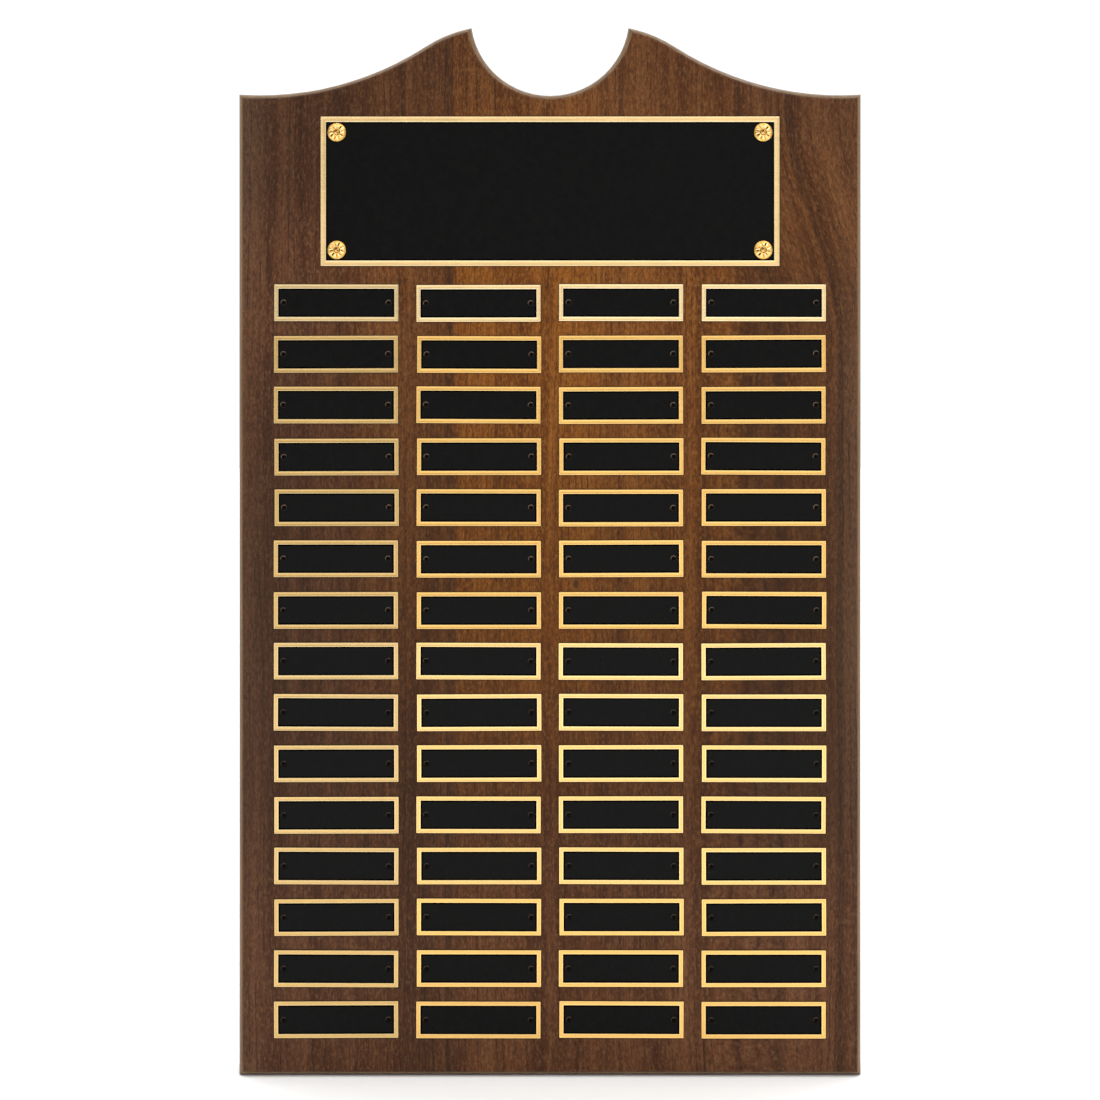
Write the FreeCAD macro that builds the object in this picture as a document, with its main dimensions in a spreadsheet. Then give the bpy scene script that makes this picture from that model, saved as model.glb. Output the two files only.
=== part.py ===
"""Perpetual wall plaque: a veneered board with an ogee top and a round notch, one header plate held by
four rosette tacks, sixty small nameplates on black pins, and two keyhole hanger plates let into the back.

Frame: millimetres, +Z up, +X to the viewer's right, the front faces -Y. The origin is in the middle of
the back face, which lies against the wall, so the board fills y from 0 to minus its thickness.
"""
import FreeCAD, Part
import math
import os
import random
import Sketcher

V = FreeCAD.Vector
FRONT = V(0, -1, 0)

SIZES = {
    # board
    "board_width": 317.5,
    "board_thickness": 19.05,
    "veneer_thickness": 0.6,
    "bottom_drop": 267.0,
    "hollow_low_x": 148.0,
    "hollow_low_z": 232.8,
    "hollow_radius": 156.0,
    "horn_centre_x": 27.7,
    "horn_radius": 66.3,
    "notch_centre_z": 273.0,
    "notch_radius": 40.5,
    "edge_depth": 6.0,
    "edge_radius": 7.2,
    "splice_x": -73.0,
    # header plate and its rosette tacks
    "header_width": 233.4,
    "header_height": 76.2,
    "header_thickness": 0.6,
    "header_centre_z": 183.0,
    "tack_inset_x": 8.5,
    "tack_inset_z": 8.25,
    "tack_hole_radius": 1.1,
    "cap_radius": 4.77,
    "cap_rim_height": 0.3,
    "cap_shoulder_radius": 4.2,
    "cap_shoulder_height": 0.85,
    "cap_crown_radius": 1.7,
    "cap_crown_height": 1.5,
    "cap_dimple_radius": 0.75,
    "cap_dimple_height": 0.95,
    "cap_pip_height": 1.15,
    "petal_count": 9,
    "petal_groove_start": 1.95,
    "petal_groove_length": 1.75,
    "petal_groove_width": 0.42,
    "petal_groove_floor": 0.78,
    "nail_radius": 0.9,
    "nail_length": 13.0,
    "nail_point": 2.2,
    "nail_seat": 0.5,
    # nameplates and their pins
    "plate_width": 63.5,
    "plate_height": 19.05,
    "plate_thickness": 0.5,
    "plate_hole_radius": 0.8,
    "column_pitch": 72.35,
    "row_pitch": 26.0,
    "first_row_z": 126.3,
    "pin_inset": 5.15,
    "pin_head_radius": 1.55,
    "pin_head_rim": 0.22,
    "pin_head_height": 0.9,
    "pin_shank_radius": 0.6,
    "pin_length": 9.5,
    "pin_point": 1.6,
    # keyhole hangers in the back
    "hanger_spread": 101.6,
    "hanger_centre_z": 170.0,
    "hanger_length": 50.0,
    "hanger_width": 19.0,
    "hanger_thickness": 1.6,
    "keyhole_drop": 5.0,
    "keyhole_radius": 4.75,
    "keyhole_slot_radius": 2.4,
    "keyhole_slot_rise": 14.0,
    "head_room_width": 13.0,
    "head_room_depth": 7.0,
    "head_room_overrun": 2.5,
    "screw_spread": 20.0,
    "screw_head_radius": 3.2,
    "screw_head_depth": 1.5,
    "screw_shank_radius": 1.5,
    "screw_length": 12.7,
    "screw_point": 2.5,
    "screw_recess_width": 0.9,
    "screw_recess_span": 3.4,
    "screw_recess_depth": 1.0,
}
ROWS = 15
COLUMNS = 4
HAND_SET_SHIFT = 0.22
HAND_SET_TURN = 0.25
FREE_EDGE = 20.0

doc = FreeCAD.newDocument("WallPlaque")


# ---------------------------------------------------------------- document helpers
def make_sheet():
    """The driving dimensions, one per row, each cell with its own alias."""
    sheet = doc.addObject("Spreadsheet::Sheet", "Sizes")
    for number, (alias, value) in enumerate(SIZES.items(), start=1):
        sheet.set(f"A{number}", alias)
        sheet.set(f"B{number}", str(value))
        sheet.setAlias(f"B{number}", alias)
    doc.recompute()
    return sheet


sheet = make_sheet()


def size(alias):
    """A driving dimension as a plain number."""
    return float(sheet.get(alias))


def bind(thing, **expressions):
    """Bind properties to expressions, in which each alias of the sheet is written Sizes.alias."""
    for name, expression in expressions.items():
        thing.setExpression(name, expression)


def origin_feature(body, role):
    return next(feature for feature in body.Origin.OriginFeatures if feature.Role == role)


def new_body(name):
    return doc.addObject("PartDesign::Body", name)


def new_sketch(body, name, plane="XZ_Plane"):
    sketch = body.newObject("Sketcher::SketchObject", name)
    sketch.AttachmentSupport = [(origin_feature(body, plane), "")]
    sketch.MapMode = "FlatFace"
    return sketch


def dimension(sketch, name, expression, *constraint):
    """One driving constraint, named, and bound to an expression."""
    index = sketch.addConstraint(Sketcher.Constraint(*constraint))
    sketch.renameConstraint(index, name)
    sketch.setExpression(f"Constraints.{name}", expression)


def chain(sketch, points):
    """Straight lines through the points and back to the first, joined end to end. Returns their numbers."""
    lines = []
    for start, end in zip(points, points[1:] + points[:1]):
        lines.append(sketch.addGeometry(Part.LineSegment(V(*start, 0), V(*end, 0))))
    for one, following in zip(lines, lines[1:] + lines[:1]):
        sketch.addConstraint(Sketcher.Constraint("Coincident", one, 2, following, 1))
    return lines


def rectangle(sketch, width, height):
    """A rectangle centred on the sketch's origin. width and height are expressions."""
    w, h = 10.0, 5.0
    bottom, right, top, left = chain(sketch, [(-w, -h), (w, -h), (w, h), (-w, h)])
    for line in (bottom, top):
        sketch.addConstraint(Sketcher.Constraint("Horizontal", line))
    for line in (right, left):
        sketch.addConstraint(Sketcher.Constraint("Vertical", line))
    sketch.addConstraint(Sketcher.Constraint("Symmetric", bottom, 1, right, 2, -1, 1))
    dimension(sketch, "width", width, "DistanceX", bottom, 1, bottom, 2, 2 * w)
    dimension(sketch, "height", height, "DistanceY", right, 1, right, 2, 2 * h)


def circle(sketch, name, x, z, radius):
    """A circle whose centre and radius are bound: x and z are (start value, expression) pairs."""
    ring = sketch.addGeometry(Part.Circle(V(x[0], z[0], 0), V(0, 0, 1), 1.0))
    dimension(sketch, f"{name}_radius", radius, "Radius", ring, 1.0)
    for axis, tag, (start, expression) in (("DistanceX", "x", x), ("DistanceY", "z", z)):
        if start == 0:
            on_axis = -2 if axis == "DistanceX" else -1
            sketch.addConstraint(Sketcher.Constraint("PointOnObject", ring, 3, on_axis))
        elif start > 0:
            dimension(sketch, f"{name}_{tag}", expression, axis, -1, 1, ring, 3, start)
        else:
            dimension(sketch, f"{name}_{tag}", expression, axis, ring, 3, -1, 1, -start)


def pad(body, sketch, length, name="Pad"):
    """Extrude from the back plane towards the front, which is the XZ plane's own normal."""
    feature = body.newObject("PartDesign::Pad", name)
    feature.Profile = sketch
    bind(feature, Length=length)
    return feature


def revolve(body, sketch, name="Revolution"):
    """Turn a half profile in the XY plane about the body's Y axis."""
    feature = body.newObject("PartDesign::Revolution", name)
    feature.Profile = sketch
    feature.ReferenceAxis = (sketch, ["V_Axis"])
    feature.Angle = 360
    return feature


def half_profile(sketch, points, domes=()):
    """A closed half profile beside the Y axis, to be turned about it.

    Each point is (radius, its expression, y, its expression). A point with radius 0 lies on the Y axis
    and a point with y 0 on the X axis. The edge that leaves each point numbered in domes is an arc
    centred on the Y axis, and every other edge is straight.
    """
    edges, ends = [], []
    for number, ((r1, _, y1, _), (r2, _, y2, _)) in enumerate(zip(points, points[1:] + points[:1])):
        if number not in domes:
            edges.append(sketch.addGeometry(Part.LineSegment(V(r1, y1, 0), V(r2, y2, 0))))
            ends.append((1, 2))
            continue
        centre = (r1**2 + y1**2 - r2**2 - y2**2) / (2 * (y1 - y2))
        round_edge = Part.Circle(V(0, centre, 0), V(0, 0, 1), math.hypot(r1, y1 - centre))
        angles = [math.atan2(y1 - centre, r1), math.atan2(y2 - centre, r2)]
        edges.append(sketch.addGeometry(Part.ArcOfCircle(round_edge, min(angles), max(angles))))
        ends.append((1, 2) if angles[0] < angles[1] else (2, 1))
        sketch.addConstraint(Sketcher.Constraint("PointOnObject", edges[-1], 3, -2))
    for number, edge in enumerate(edges):
        following = (number + 1) % len(edges)
        joined = (edge, ends[number][1], edges[following], ends[following][0])
        sketch.addConstraint(Sketcher.Constraint("Coincident", *joined))
    for number, (edge, (radius, radius_from, y, y_from)) in enumerate(zip(edges, points)):
        at = (edge, ends[number][0])
        if radius == 0:
            sketch.addConstraint(Sketcher.Constraint("PointOnObject", *at, -2))
        else:
            dimension(sketch, f"radius_{number}", radius_from, "DistanceX", -1, 1, *at, radius)
        if y == 0:
            sketch.addConstraint(Sketcher.Constraint("PointOnObject", *at, -1))
        elif y > 0:
            dimension(sketch, f"depth_{number}", y_from, "DistanceY", -1, 1, *at, y)
        else:
            dimension(sketch, f"height_{number}", y_from, "DistanceY", *at, -1, 1, -y)


def row(radius=None, y=None, behind=True):
    """One point of a half profile from two aliases. y is measured behind the X axis, or in front of it."""
    across = (size(radius), f"Sizes.{radius}") if radius else (0, None)
    if y is None:
        return (*across, 0, None)
    return (*across, size(y) if behind else -size(y), f"Sizes.{y}")


def obround(sketch, radius, low, high):
    """An upright slot outline with round ends.

    radius is an expression. low and high are the heights of the two ends' centres, each as a start value
    and an expression of its distance from the X axis.
    """
    r, z1, z2 = 3.0, low[0], high[0]
    top = sketch.addGeometry(Part.ArcOfCircle(Part.Circle(V(0, z2, 0), V(0, 0, 1), r), 0, math.pi))
    foot = Part.Circle(V(0, z1, 0), V(0, 0, 1), r)
    bottom = sketch.addGeometry(Part.ArcOfCircle(foot, math.pi, 2 * math.pi))
    left = sketch.addGeometry(Part.LineSegment(V(-r, z2, 0), V(-r, z1, 0)))
    right = sketch.addGeometry(Part.LineSegment(V(r, z1, 0), V(r, z2, 0)))
    for one, other in ((top, left), (left, bottom), (bottom, right), (right, top)):
        sketch.addConstraint(Sketcher.Constraint("Tangent", one, 2, other, 1))
    sketch.addConstraint(Sketcher.Constraint("Vertical", right))
    for name, centre, (start, expression) in (("low", bottom, low), ("high", top, high)):
        sketch.addConstraint(Sketcher.Constraint("PointOnObject", centre, 3, -2))
        if start > 0:
            dimension(sketch, name, expression, "DistanceY", -1, 1, centre, 3, start)
        else:
            dimension(sketch, name, expression, "DistanceY", centre, 3, -1, 1, -start)
    dimension(sketch, "radius", radius, "Radius", top, r)


def pocket(body, sketch, name, depth=None, forward=False):
    """Cut into the body from its sketch: to a depth behind the sketch, or right through, or all in front."""
    feature = body.newObject("PartDesign::Pocket", name)
    feature.Profile = sketch
    if depth:
        bind(feature, Length=depth)
    else:
        feature.Type = "ThroughAll"
        feature.Midplane = not forward
        feature.Reversed = forward
    return feature


def around_axis(body, feature, name, count, angle=360):
    """Repeat a feature about the body's Y axis. count is a number or an expression."""
    pattern = body.newObject("PartDesign::PolarPattern", name)
    pattern.Originals = [feature]
    pattern.Axis = (origin_feature(body, "Y_Axis"), [""])
    pattern.Angle = angle
    if isinstance(count, str):
        bind(pattern, Occurrences=count)
    else:
        pattern.Occurrences = count
    body.Tip = pattern
    return pattern


def linked(source, name, placement):
    """A placed link to a piece that is modelled once and used many times."""
    link = doc.addObject("App::Link", name)
    link.LinkedObject = source
    link.Placement = placement
    return link


def group(name, members):
    compound = doc.addObject("Part::Compound", name)
    compound.Links = members
    return compound


def slab(name, low, high):
    """A box between two corners. Each corner is three expressions."""
    box = doc.addObject("Part::Box", name)
    for axis, side, start, end in zip("xyz", ("Length", "Width", "Height"), low, high):
        box.setExpression(f"Placement.Base.{axis}", start)
        box.setExpression(side, f"({end}) - ({start})")
    return box


def common(name, base, tool):
    feature = doc.addObject("Part::Common", name)
    feature.Base = base
    feature.Tool = tool
    return feature


def cut(name, base, tool):
    feature = doc.addObject("Part::Cut", name)
    feature.Base = base
    feature.Tool = tool
    return feature


# ---------------------------------------------------------------- board
def board_outline(sketch):
    """Straight bottom and sides, an ogee shoulder on each side, and a round notch between two horns."""
    half, drop = size("board_width") / 2, size("bottom_drop")
    hollow_r, horn_r, notch_r = size("hollow_radius"), size("horn_radius"), size("notch_radius")
    hollow = V(size("hollow_low_x"), size("hollow_low_z") + hollow_r, 0)
    reach = hollow_r + horn_r
    horn_x = size("horn_centre_x")
    horn = V(horn_x, hollow.y - math.sqrt(reach**2 - (hollow.x - horn_x) ** 2), 0)
    notch = V(0, size("notch_centre_z"), 0)
    turn = hollow + (horn - hollow) * (hollow_r / reach)
    corner_z = hollow.y - math.sqrt(hollow_r**2 - (half - hollow.x) ** 2)
    tip = circles_meeting(horn, horn_r, notch, notch_r)

    def arc(centre, radius, start, end):
        angles = [math.atan2(p.y - centre.y, p.x - centre.x) for p in (start, end)]
        round_edge = Part.Circle(centre, V(0, 0, 1), radius)
        return sketch.addGeometry(Part.ArcOfCircle(round_edge, *angles))

    def line(start, end):
        return sketch.addGeometry(Part.LineSegment(start, end))

    corners = {side: V(side * half, corner_z, 0) for side in (1, -1)}
    feet = {side: V(side * half, -drop, 0) for side in (1, -1)}
    bottom = line(feet[-1], feet[1])
    sides, hollows, horns = {}, {}, {}
    for side in (1, -1):
        across = lambda p: V(side * p.x, p.y, 0)
        sides[side] = line(feet[side], corners[side])
        ends = (across(turn), corners[side])[::side]
        hollows[side] = arc(across(hollow), hollow_r, *ends)
        ends = (across(turn), across(tip))[::side]
        horns[side] = arc(across(horn), horn_r, *ends)
    notch_arc = arc(notch, notch_r, V(-tip.x, tip.y, 0), tip)

    def fix(*constraint):
        sketch.addConstraint(Sketcher.Constraint(*constraint))

    # a right-hand arc starts at its end nearer the centre for the hollow, and further out for the horn
    fix("Coincident", bottom, 2, sides[1], 1)
    fix("Coincident", bottom, 1, sides[-1], 1)
    fix("Vertical", sides[1])
    fix("Vertical", sides[-1])
    fix("Symmetric", bottom, 1, bottom, 2, -2)
    fix("Coincident", sides[1], 2, hollows[1], 2)
    fix("Coincident", sides[-1], 2, hollows[-1], 1)
    fix("Tangent", hollows[1], 1, horns[1], 1)
    fix("Tangent", hollows[-1], 2, horns[-1], 2)
    fix("Coincident", horns[1], 2, notch_arc, 2)
    fix("Coincident", horns[-1], 1, notch_arc, 1)
    fix("PointOnObject", notch_arc, 3, -2)
    fix("Symmetric", hollows[1], 3, hollows[-1], 3, -2)
    fix("Symmetric", horns[1], 3, horns[-1], 3, -2)
    fix("Equal", hollows[1], hollows[-1])
    dimension(sketch, "width", "Sizes.board_width", "DistanceX", bottom, 1, bottom, 2, 2 * half)
    dimension(sketch, "drop", "Sizes.bottom_drop", "DistanceY", bottom, 1, -1, 1, drop)
    dimension(sketch, "hollow_x", "Sizes.hollow_low_x", "DistanceX", -1, 1, hollows[1], 3, hollow.x)
    hollow_z = "Sizes.hollow_low_z + Sizes.hollow_radius"
    dimension(sketch, "hollow_z", hollow_z, "DistanceY", -1, 1, hollows[1], 3, hollow.y)
    dimension(sketch, "hollow_r", "Sizes.hollow_radius", "Radius", hollows[1], hollow_r)
    dimension(sketch, "horn_x", "Sizes.horn_centre_x", "DistanceX", -1, 1, horns[1], 3, horn.x)
    dimension(sketch, "horn_r", "Sizes.horn_radius", "Radius", horns[1], horn_r)
    dimension(sketch, "notch_z", "Sizes.notch_centre_z", "DistanceY", -1, 1, notch_arc, 3, notch.y)
    dimension(sketch, "notch_r", "Sizes.notch_radius", "Radius", notch_arc, notch_r)


def circles_meeting(one, one_radius, other, other_radius):
    """The point right of the centre line where two circles cross, the upper of the two."""
    gap = other - one
    along = (one_radius**2 - other_radius**2 + gap.Length**2) / (2 * gap.Length)
    aside = math.sqrt(one_radius**2 - along**2)
    unit = gap / gap.Length
    foot = one + unit * along
    normal = V(-unit.y, unit.x, 0)
    return max(foot + normal * aside, foot - normal * aside, key=lambda p: p.x)


def board_blank():
    """The whole board before it is divided into its layers.

    The front edges are rounded over with a radius larger than their depth, and the blank is thicker than
    the board by the difference. The face layer stops short of that extra, which leaves a crisp arris
    round the face and a curve that runs down into the side.
    """
    body = new_body("board_blank")
    sketch = new_sketch(body, "board_outline")
    board_outline(sketch)
    extra = "Sizes.edge_radius - Sizes.edge_depth"
    block = pad(body, sketch, f"Sizes.board_thickness + {extra}", "BoardPad")
    doc.recompute()
    front = -block.Length.Value
    edges = [
        f"Edge{number}"
        for number, edge in enumerate(block.Shape.Edges, start=1)
        if all(abs(vertex.Y - front) < 1e-6 for vertex in edge.Vertexes)
    ]
    rounding = body.newObject("PartDesign::Fillet", "EdgeRounding")
    rounding.Base = (block, edges)
    bind(rounding, Radius="Sizes.edge_radius")
    return body


def layer(name, blank, back, front, left=None, right=None):
    """One layer of the board between two depths, and between two upright planes for part of a layer."""
    past = f"Sizes.board_width / 2 + {FREE_EDGE}"
    low = (left or f"-({past})", f"-({front})", f"-Sizes.bottom_drop - {FREE_EDGE}")
    high = (right or past, f"-({back})", f"Sizes.notch_centre_z + {FREE_EDGE}")
    return common(f"{name}_layer", blank, slab(f"{name}_slab", low, high))


# ---------------------------------------------------------------- fasteners, each about its own Y axis
def pointed_shank(radius, length, point):
    """The first two points of a half profile: the tip, and the root of the point."""
    return [
        row(y=length),
        (size(radius), f"Sizes.{radius}", size(length) - size(point), f"Sizes.{length} - Sizes.{point}"),
    ]


def nameplate_pin():
    """Escutcheon pin: a low domed black head with its underside at y = 0, and a pointed shank along +Y."""
    body = new_body("nameplate_pin")
    sketch = new_sketch(body, "pin_profile", "XY_Plane")
    points = [
        *pointed_shank("pin_shank_radius", "pin_length", "pin_point"),
        row("pin_shank_radius"),
        row("pin_head_radius"),
        row("pin_head_radius", "pin_head_rim", behind=False),
        row(None, "pin_head_height", behind=False),
    ]
    half_profile(sketch, points, domes={len(points) - 2})
    revolve(body, sketch)
    return body


def rosette_cap():
    """Stamped cap of a rosette tack: a rim, a ring of petals parted by grooves, and a dimpled crown.

    Its underside is at y = 0, with a short socket for the nail.
    """
    body = new_body("rosette_cap")
    sketch = new_sketch(body, "cap_profile", "XY_Plane")
    points = [
        row(None, "nail_seat", behind=False),
        row("nail_radius", "nail_seat", behind=False),
        row("nail_radius"),
        row("cap_radius"),
        row("cap_radius", "cap_rim_height", behind=False),
        row("cap_shoulder_radius", "cap_shoulder_height", behind=False),
        row("cap_crown_radius", "cap_crown_height", behind=False),
        row("cap_dimple_radius", "cap_dimple_height", behind=False),
        row(None, "cap_pip_height", behind=False),
    ]
    half_profile(sketch, points, domes={5, 7})
    revolve(body, sketch)
    groove = new_sketch(body, "petal_groove")
    groove.AttachmentOffset = FreeCAD.Placement(V(0, 0, size("petal_groove_floor")), FreeCAD.Rotation())
    groove.setExpression("AttachmentOffset.Base.z", "Sizes.petal_groove_floor")
    start, length, width = (size(f"petal_groove_{word}") for word in ("start", "length", "width"))
    low, high = -width / 2, width / 2
    lines = chain(groove, [(start, low), (start + length, low), (start + length, high), (start, high)])
    for line, way in zip(lines, ("Horizontal", "Vertical", "Horizontal")):
        groove.addConstraint(Sketcher.Constraint(way, line))
    groove.addConstraint(Sketcher.Constraint("Symmetric", lines[3], 1, lines[3], 2, -1))
    dimension(groove, "start", "Sizes.petal_groove_start", "DistanceX", -1, 1, lines[0], 1, start)
    dimension(groove, "length", "Sizes.petal_groove_length", "DistanceX", lines[0], 1, lines[0], 2, length)
    dimension(groove, "width", "Sizes.petal_groove_width", "DistanceY", lines[1], 1, lines[1], 2, width)
    grooved = pocket(body, groove, "PetalGroove", forward=True)
    around_axis(body, grooved, "PetalRing", "Sizes.petal_count")
    return body


def rosette_nail():
    """Steel nail of a rosette tack, from the bottom of the cap's socket to its point."""
    body = new_body("rosette_nail")
    sketch = new_sketch(body, "nail_profile", "XY_Plane")
    points = [
        *pointed_shank("nail_radius", "nail_length", "nail_point"),
        row("nail_radius", "nail_seat", behind=False),
        row(None, "nail_seat", behind=False),
    ]
    half_profile(sketch, points)
    revolve(body, sketch)
    return body


def countersunk_blank(name):
    """A countersunk wood screw before its recess, flat top at y = 0 and shank along +Y. Also its hole."""
    body = new_body(name)
    sketch = new_sketch(body, f"{name}_profile", "XY_Plane")
    points = [
        *pointed_shank("screw_shank_radius", "screw_length", "screw_point"),
        row("screw_shank_radius", "screw_head_depth"),
        row("screw_head_radius"),
        row(),
    ]
    half_profile(sketch, points)
    revolve(body, sketch)
    return body


def hanger_screw():
    """The countersunk screw with a cross recess in its head."""
    body = countersunk_blank("hanger_screw")
    recess = new_sketch(body, "screw_recess")
    rectangle(recess, "Sizes.screw_recess_span", "Sizes.screw_recess_width")
    slot = pocket(body, recess, "RecessSlot", depth="Sizes.screw_recess_depth")
    around_axis(body, slot, "RecessCross", 2, angle=90)
    return body


# ---------------------------------------------------------------- plates
def flat_plate(name, kind, holes):
    """A rectangular plate with its back at y = 0. holes are (x, z, x expression, z expression) rows."""
    body = new_body(name)
    outline = new_sketch(body, f"{name}_outline")
    rectangle(outline, f"Sizes.{kind}_width", f"Sizes.{kind}_height")
    pad(body, outline, f"Sizes.{kind}_thickness")
    drilled = new_sketch(body, f"{name}_holes")
    radius = "Sizes.plate_hole_radius" if kind == "plate" else "Sizes.tack_hole_radius"
    for number, (x, z, x_from, z_from) in enumerate(holes):
        circle(drilled, f"hole_{number}", (x, x_from), (z, z_from), radius)
    pocket(body, drilled, "Holes")
    return body


def nameplate():
    reach = size("plate_width") / 2 - size("pin_inset")
    reach_from = "Sizes.plate_width / 2 - Sizes.pin_inset"
    return flat_plate("nameplate", "plate", [(side * reach, 0, reach_from, None) for side in (-1, 1)])


def header_plate():
    x, z = size("header_width") / 2 - size("tack_inset_x"), size("header_height") / 2 - size("tack_inset_z")
    x_from = "Sizes.header_width / 2 - Sizes.tack_inset_x"
    z_from = "Sizes.header_height / 2 - Sizes.tack_inset_z"
    holes = [(sx * x, sz * z, x_from, z_from) for sz in (1, -1) for sx in (-1, 1)]
    body = flat_plate("header_plate", "header", holes)
    body.setExpression("Placement.Base.y", "-Sizes.board_thickness")
    body.setExpression("Placement.Base.z", "Sizes.header_centre_z")
    return body


# ---------------------------------------------------------------- keyhole hanger
def round_ended(name, radius, low, high, thickness):
    """A plate or a recess with round ends, from the back plane inwards."""
    body = new_body(name)
    outline = new_sketch(body, f"{name}_outline")
    obround(outline, radius, low, high)
    pad(body, outline, thickness)
    return body


HANGER_END = "(Sizes.hanger_length - Sizes.hanger_width) / 2"
SLOT_TOP = "Sizes.keyhole_slot_rise - Sizes.keyhole_drop"


def hanger_ends():
    reach = (size("hanger_length") - size("hanger_width")) / 2
    return (-reach, HANGER_END), (reach, HANGER_END)


def keyhole_ends():
    drop = size("keyhole_drop")
    return (-drop, "Sizes.keyhole_drop"), (size("keyhole_slot_rise") - drop, SLOT_TOP)


def head_room_ends():
    """The head room runs past the keyhole at both ends, so a screw head goes in and up with room to spare."""
    over, more = size("head_room_overrun"), " + Sizes.head_room_overrun"
    (low, low_size), (high, high_size) = keyhole_ends()
    return (low - over, low_size + more), (high + over, high_size + more)


def keyhole_plate():
    """Steel hanger plate with its outer face at y = 0: a round entry hole, and a slot above it."""
    body = round_ended(
        "keyhole_plate", "Sizes.hanger_width / 2", *hanger_ends(), "Sizes.hanger_thickness"
    )
    entry = new_sketch(body, "keyhole_entry")
    drop = size("keyhole_drop")
    circle(entry, "entry", (0, None), (-drop, "Sizes.keyhole_drop"), "Sizes.keyhole_radius")
    pocket(body, entry, "EntryHole")
    slot = new_sketch(body, "keyhole_slot")
    obround(slot, "Sizes.keyhole_slot_radius", *keyhole_ends())
    pocket(body, slot, "Slot")
    return body


# ---------------------------------------------------------------- where things stand
def facing_back(x, z):
    """A placement on the back face for a piece that is modelled as if it went in from the front."""
    return FreeCAD.Placement(V(x, 0, z), FreeCAD.Rotation(V(0, 0, 1), 180))


def nameplate_places():
    """Where each nameplate sits, row by row. They are set by hand, so each is very slightly out of line."""
    hand = random.Random(12)
    face = -size("board_thickness")
    rows = []
    for row_number in range(ROWS):
        places = []
        for column in range(COLUMNS):
            x = (column - (COLUMNS - 1) / 2) * size("column_pitch")
            z = size("first_row_z") - row_number * size("row_pitch")
            x += hand.uniform(-HAND_SET_SHIFT, HAND_SET_SHIFT)
            z += hand.uniform(-HAND_SET_SHIFT, HAND_SET_SHIFT)
            turn = FreeCAD.Rotation(V(0, 1, 0), hand.uniform(-HAND_SET_TURN, HAND_SET_TURN))
            places.append(FreeCAD.Placement(V(x, face, z), turn))
        rows.append(places)
    return rows


def nameplate_rows(plate, pin):
    """Fifteen rows of four nameplates, and the eight pins of each row."""
    reach = size("plate_width") / 2 - size("pin_inset")
    plates, pins = [], []
    for number, places in enumerate(nameplate_places(), start=1):
        row_plates, row_pins = [], []
        for column, place in enumerate(places, start=1):
            row_plates.append(linked(plate, f"plate_{number}_{column}", place))
            for side in (-1, 1):
                seat = FreeCAD.Placement(V(side * reach, -size("plate_thickness"), 0), FreeCAD.Rotation())
                row_pins.append(linked(pin, f"pin_{number}_{column}_{side + 1}", place.multiply(seat)))
        plates.append(group(f"nameplate_row_{number:02d}", row_plates))
        pins.append(group(f"nameplate_pins_row_{number:02d}", row_pins))
    return plates, pins


def rosettes(cap, nail):
    """A tack in each corner of the header plate. The petals of each stop at an angle of their own."""
    x = size("header_width") / 2 - size("tack_inset_x")
    z = size("header_height") / 2 - size("tack_inset_z")
    y = -size("board_thickness") - size("header_thickness")
    corners = {
        "top_left": (-x, z, 10),
        "top_right": (x, z, 6),
        "bottom_left": (-x, -z, 28),
        "bottom_right": (x, -z, 27),
    }
    caps, nails = [], []
    for name, (across, up, turn) in corners.items():
        spot = V(across, y, size("header_centre_z") + up)
        place = FreeCAD.Placement(spot, FreeCAD.Rotation(FRONT, turn))
        caps.append(linked(cap, f"rosette_cap_{name}", place))
        nails.append(linked(nail, f"nail_{name}", place))
    return caps, group("rosette_nails", nails)


def hangers(plate, recess, room, screw, screw_hole):
    """Two hanger plates let in flush with the back, two screws in each, and the spaces cut for them."""
    pieces, screws, spaces = [], [], []
    for side, name in ((-1, "left"), (1, "right")):
        x, z = side * size("hanger_spread"), size("hanger_centre_z")
        place = FreeCAD.Placement(V(x, 0, z), FreeCAD.Rotation())
        pair, holes = [], []
        for end, up in (("lower", -size("screw_spread")), ("upper", size("screw_spread"))):
            pair.append(linked(screw, f"screw_{name}_{end}", facing_back(x, z + up)))
            holes.append(linked(screw_hole, f"screw_hole_{name}_{end}", facing_back(x, z + up)))
        drilled = group(f"screw_holes_{name}", holes)
        screws.append(group(f"hanger_screws_{name}", pair))
        blank = linked(plate, f"hanger_blank_{name}", place)
        pieces.append(cut(f"keyhole_hanger_{name}", blank, drilled))
        recesses = [linked(recess, f"recess_{name}", place), linked(room, f"head_room_{name}", place)]
        spaces += [*recesses, drilled]
    return pieces, screws, spaces


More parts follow.
